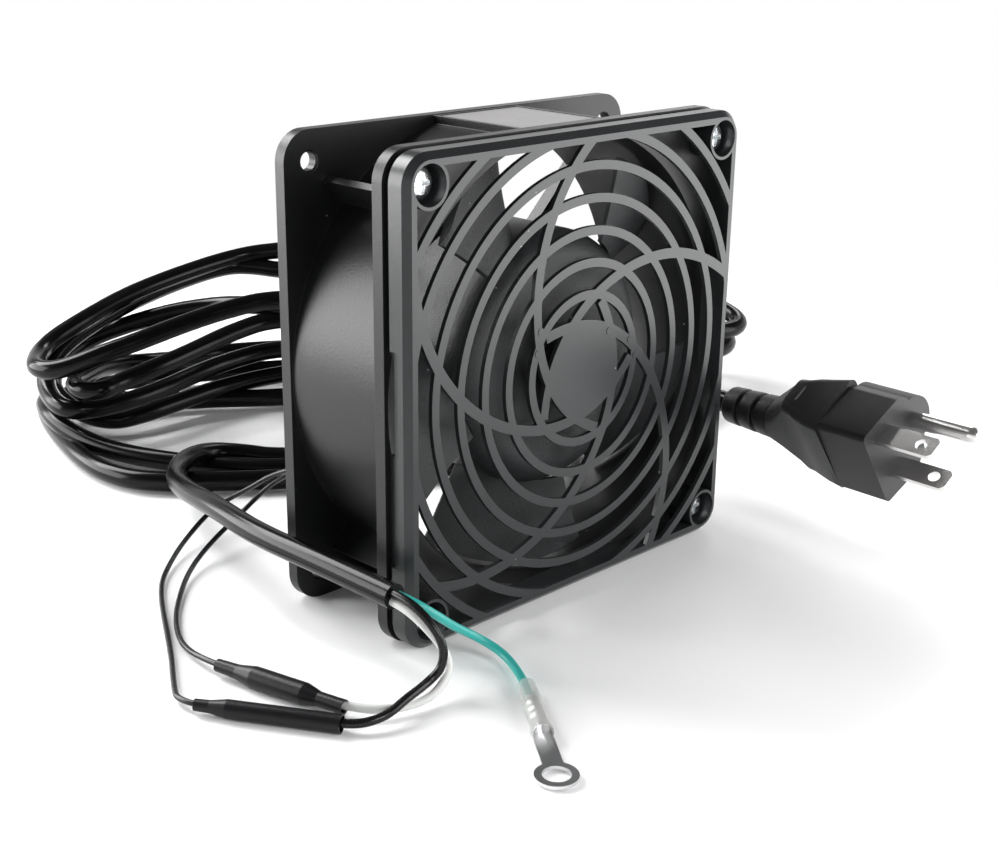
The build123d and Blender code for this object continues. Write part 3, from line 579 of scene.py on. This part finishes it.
def floor_material():
    made = bpy.data.materials.new("Floor")
    made.use_nodes = True
    tree = made.node_tree
    shader = tree.nodes["Principled BSDF"]
    shader.inputs["Base Color"].default_value = (0.96, 0.96, 0.96, 1)
    shader.inputs["Roughness"].default_value = 0.9
    shader.inputs["Specular IOR Level"].default_value = 0.1
    clear = node(tree, "ShaderNodeBsdfTransparent")
    clear.inputs["Color"].default_value = (1, 1, 1, 1)
    place = node(tree, "ShaderNodeTexCoord")
    reach = node(tree, "ShaderNodeVectorMath", [("operation", "LENGTH")])
    fade = node(tree, "ShaderNodeMapRange", [("interpolation_type", "SMOOTHSTEP")],
                From_Min=FADE_FROM, From_Max=FADE_TO)
    mix = node(tree, "ShaderNodeMixShader")
    tree.links.new(place.outputs["Object"], reach.inputs[0])
    tree.links.new(reach.outputs["Value"], fade.inputs["Value"])
    tree.links.new(fade.outputs["Result"], mix.inputs["Fac"])
    tree.links.new(shader.outputs[0], mix.inputs[1])
    tree.links.new(clear.outputs[0], mix.inputs[2])
    tree.links.new(mix.outputs[0], tree.nodes["Material Output"].inputs["Surface"])
    return made


class FAN_OT_stage(bpy.types.Operator):
    """Sets the camera, lights, backdrop and floor"""
    bl_idname = "rack_fan.stage"
    bl_label = "Stage"

    def execute(self, context):
        scene = context.scene
        settings = scene.rack_fan_stage
        data = bpy.data.cameras.new("Camera")
        data.lens = LENS
        data.sensor_width = SENSOR
        data.clip_start = 0.01
        camera = bpy.data.objects.new("Camera", data)
        camera.location = CAMERA_SPOT
        camera.rotation_euler = CAMERA_TURN
        scene.collection.objects.link(camera)
        scene.camera = camera
        scene.view_settings.view_transform = "Standard"
        white_world(settings.backdrop)
        for name, spot, aim, size, brightness in SOFTBOXES:
            soft_light(name, spot, aim, size, brightness * settings.level)
        shape = bmesh.new()
        bmesh.ops.create_circle(shape, cap_ends=True, segments=96, radius=FLOOR_RADIUS)
        mesh = bpy.data.meshes.new("Floor")
        shape.to_mesh(mesh)
        shape.free()
        mesh.materials.append(floor_material())
        floor = bpy.data.objects.new("Floor", mesh)
        floor.location = FLOOR_MIDDLE
        scene.collection.objects.link(floor)
        return {"FINISHED"}


class FAN_OT_cords(bpy.types.Operator):
    """Lays the power cord with its loose hank, its three wires and the motor's two leads"""
    bl_idname = "rack_fan.cords"
    bl_label = "Cords"

    def execute(self, context):
        settings = context.scene.rack_fan_cords

        free_cord("PowerCord", JACKET + hank_route() + TAIL[1:], settings.jacket, "cord_jacket",
                  ("power_cord_lead", "power_cord_coil", "power_cord_tail"))
        free_cord("BlackWire", BLACK, settings.wire, "wire_black", ("cord_black_wire",))
        free_cord("WhiteWire", WHITE, settings.wire, "wire_white", ("cord_white_wire",))
        free_cord("GreenWire", GREEN, settings.wire, "wire_green", ("cord_green_wire",))
        free_cord("MotorLeadA", LEAD_A, settings.lead, "wire_black", ("motor_lead_a",))
        free_cord("MotorLeadB", LEAD_B, settings.lead, "wire_black", ("motor_lead_b",))
        return {"FINISHED"}


class FAN_OT_rounded(bpy.types.Operator):
    """Rounds the edges of the castings and mouldings, and finishes the guard and the ring terminal"""
    bl_idname = "rack_fan.rounded"
    bl_label = "Rounded pieces"

    def execute(self, context):
        for item in ROUNDED:
            rounded_copy(*item)
        rounded_copy("finger_guard", "FingerGuard", 0.3, STATIC, ejector_marks)
        rounded_copy("ring_terminal", "RingTerminal", 0.12, STATIC, crimped_strands)
        sleeve = turned_mesh("TerminalSleeve", TERMINAL_SLEEVE, terminal_frame())
        add_piece("TerminalSleeve", sleeve, "clear_sleeve", STATIC, ("terminal_sleeve",))
        return {"FINISHED"}


class FAN_OT_plug(bpy.types.Operator):
    """Makes the plug's moulding and its round ground pin"""
    bl_idname = "rack_fan.plug"
    bl_label = "Plug"

    def execute(self, context):
        rounded_copy("plug_body", "PlugBody", 0.45, STATIC, grip_moulding)
        place = plug_frame() @ Matrix.Translation((0, GROUND_OFFSET * MM, 0))
        pin = turned_mesh("GroundPin", GROUND_PIN, place)
        add_piece("GroundPin", pin, "plug_metal", STATIC, ("plug_ground_pin",))
        return {"FINISHED"}


class FAN_OT_finishes(bpy.types.Operator):
    """Gives every carried-over node the finish of its material slot"""
    bl_idname = "rack_fan.finishes"
    bl_label = "Finishes"

    def execute(self, context):
        for part in frame["record"]["subparts"]:
            mesh = frame["nodes"][part["node"]].data
            mesh.materials.clear()
            mesh.materials.append(finish_of(part["material_slot"]))
        return {"FINISHED"}


class FAN_PT_panel(bpy.types.Panel):
    """The settings and one button for each group of pieces"""
    bl_idname = "FAN_PT_panel"
    bl_label = "Rack fan"
    bl_space_type = "VIEW_3D"
    bl_region_type = "UI"
    bl_category = "Rack fan"

    def draw(self, context):
        for settings in (context.scene.rack_fan_stage, context.scene.rack_fan_cords):
            for name in settings.bl_rna.properties.keys():
                if name not in ("rna_type", "name"):
                    self.layout.prop(settings, name)
        for operator in OPERATORS:
            self.layout.operator(operator.bl_idname)


SETTINGS = (FanCordSettings, FanStageSettings)
OPERATORS = (FAN_OT_stage, FAN_OT_rounded, FAN_OT_plug, FAN_OT_cords, FAN_OT_finishes)
CLASSES = SETTINGS + OPERATORS + (FAN_PT_panel,)


def register():
    for item in CLASSES:
        bpy.utils.register_class(item)
    bpy.types.Scene.rack_fan_cords = bpy.props.PointerProperty(type=FanCordSettings)
    bpy.types.Scene.rack_fan_stage = bpy.props.PointerProperty(type=FanStageSettings)


def unregister():
    del bpy.types.Scene.rack_fan_stage
    del bpy.types.Scene.rack_fan_cords
    for item in reversed(CLASSES):
        bpy.utils.unregister_class(item)


def main():
    register()
    bpy.ops.rack_fan.stage()
    bpy.ops.rack_fan.rounded()
    bpy.ops.rack_fan.plug()
    bpy.ops.rack_fan.cords()
    bpy.ops.rack_fan.finishes()


if __name__ == "__main__":
    main()
